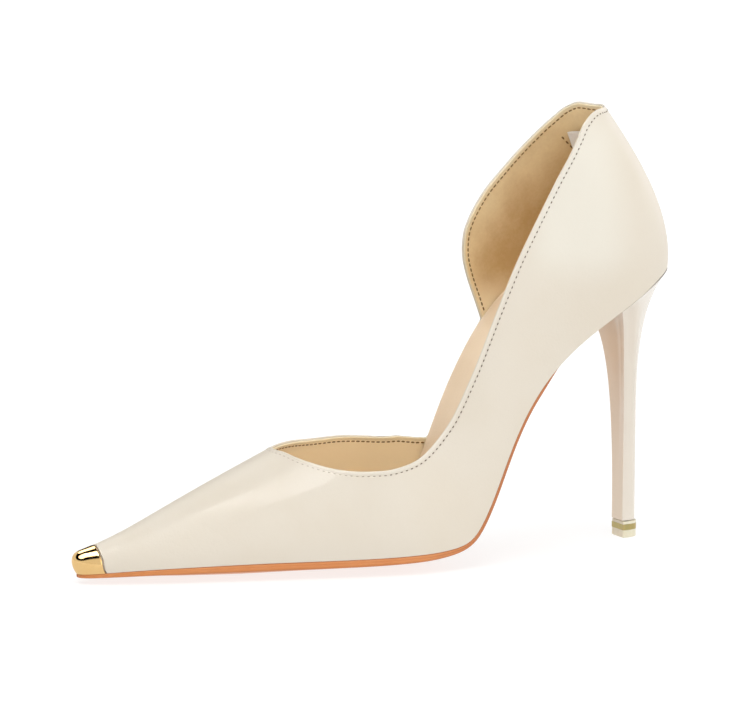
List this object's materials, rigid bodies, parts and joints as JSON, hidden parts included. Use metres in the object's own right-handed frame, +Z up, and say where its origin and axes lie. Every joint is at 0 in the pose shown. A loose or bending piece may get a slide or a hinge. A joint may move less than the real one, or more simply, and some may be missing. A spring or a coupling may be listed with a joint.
{
  "type": "stiletto pump",
  "caption": "Left pointed-toe stiletto pump, inner side cut away between vamp and heel quarter, with a metal toe tip, thin sole, padded insole and slim covered heel.",
  "frame": {"origin": "on the floor under the middle of the shoe's box", "axes": "+Z up from the floor, +X from the toe to the heel, +Y towards the inner side of the foot"},
  "size_m": [0.234, 0.0694, 0.1616],
  "materials": {
    "upper": "smooth glossy cream leather with a tan lining",
    "toe_cap": "polished gold-coloured metal",
    "outsole": "orange-brown sole with a polished edge",
    "insole": "soft pinkish-tan sock",
    "heel": "moulded heel covered in glossy cream leather",
    "heel_tip": "pale translucent wearing tip with a plain gold band",
    "lining_label": "white woven tape, blank"
  },
  "bodies": {
    "root": {"upper": "upper", "toe_cap": "toe_cap", "outsole": "outsole", "insole": "insole", "heel": "heel", "heel_tip": "heel_tip", "lining_label": "lining_label"}
  },
  "joints": []
}
